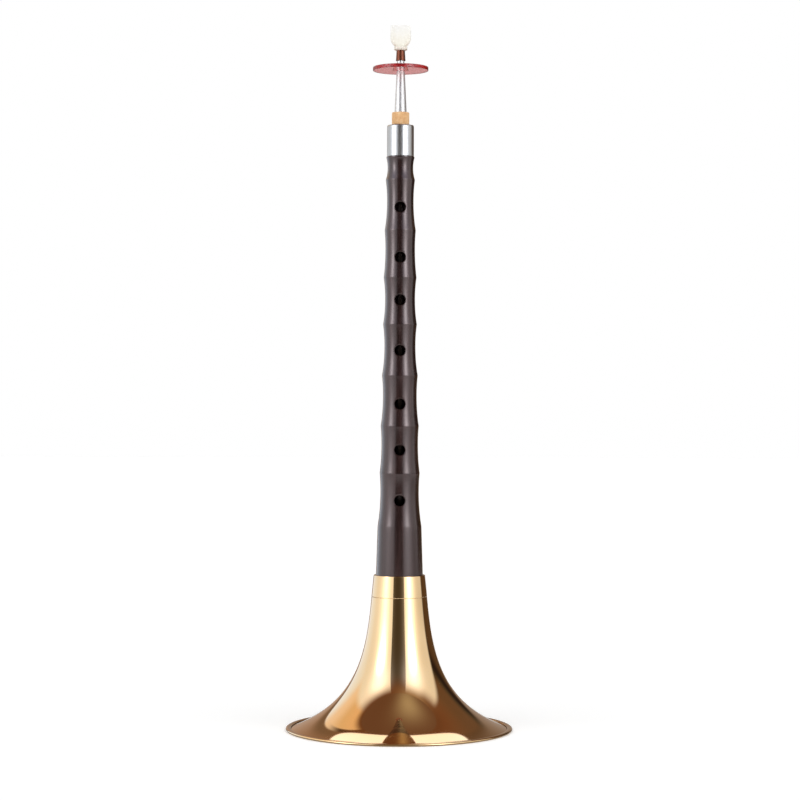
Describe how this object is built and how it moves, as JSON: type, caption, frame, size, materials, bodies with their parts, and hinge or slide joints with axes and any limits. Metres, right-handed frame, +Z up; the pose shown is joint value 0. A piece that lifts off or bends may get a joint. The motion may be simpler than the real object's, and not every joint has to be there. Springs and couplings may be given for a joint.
{
  "type": "suona",
  "caption": "Double-reed wind instrument: cane reed on a copper tube, red lip disc, cork-seated staple, sliding tuning head, dark ridged wooden pipe with finger holes, flared brass bell.",
  "frame": {"origin": "centre of the bell's rim, in the plane that the horn stands on", "axes": "+Z up the horn's axis to the reed, -Y towards the side with the seven front finger holes, +Y towards the thumb hole, X along the width of the flat reed"},
  "size_m": [0.13, 0.13, 0.4046],
  "materials": {
    "bell_brass": "polished and lacquered, with spun rings",
    "core_brass": "plain turned, dull from handling",
    "nickel_plate": "polished plating",
    "reed_copper": "drawn copper, slightly tarnished",
    "dark_wood": "dark brown rosewood or blackwood, satin oil finish, fine lengthwise grain",
    "cork": "sanded natural cork",
    "red_plastic": "clear tinted, polished",
    "cane": "scraped pale cane with fine lengthwise fibres",
    "binding_thread": "waxed thread in close turns",
    "seal_rubber": "greased black rubber"
  },
  "bodies": {
    "bell": {"bell_flare": "bell_brass", "bell_rim_wire": "bell_brass", "bell_collar": "bell_brass"},
    "pipe": {"wood_pipe": "dark_wood", "pipe_liner": "core_brass", "tenon_cork": "cork"},
    "tuning_core": {"tuning_head": "nickel_plate", "tuning_tube": "core_brass", "tuning_seal": "seal_rubber"},
    "staple": {"staple_tube": "nickel_plate", "staple_cork": "cork"},
    "pirouette": {"pirouette_disc": "red_plastic"},
    "reed": {"reed_tube": "reed_copper", "reed_cane": "cane", "reed_binding": "binding_thread"}
  },
  "joints": [
    {"name": "pipe_pull", "type": "slide", "parent": "bell", "child": "pipe", "axis": [0, 0, 1], "range_m": [0, 0.022]},
    {"name": "tuning_slide", "type": "slide", "parent": "pipe", "child": "tuning_core", "axis": [0, 0, 1], "range_m": [0, 0.012]},
    {"name": "staple_pull", "type": "slide", "parent": "tuning_core", "child": "staple", "axis": [0, 0, 1], "range_m": [0, 0.016]},
    {"name": "pirouette_lift", "type": "slide", "parent": "staple", "child": "pirouette", "axis": [0, 0, 1], "range_m": [0, 0.0015]},
    {"name": "reed_pull", "type": "slide", "parent": "staple", "child": "reed", "axis": [0, 0, 1], "range_m": [0, 0.008]}
  ]
}
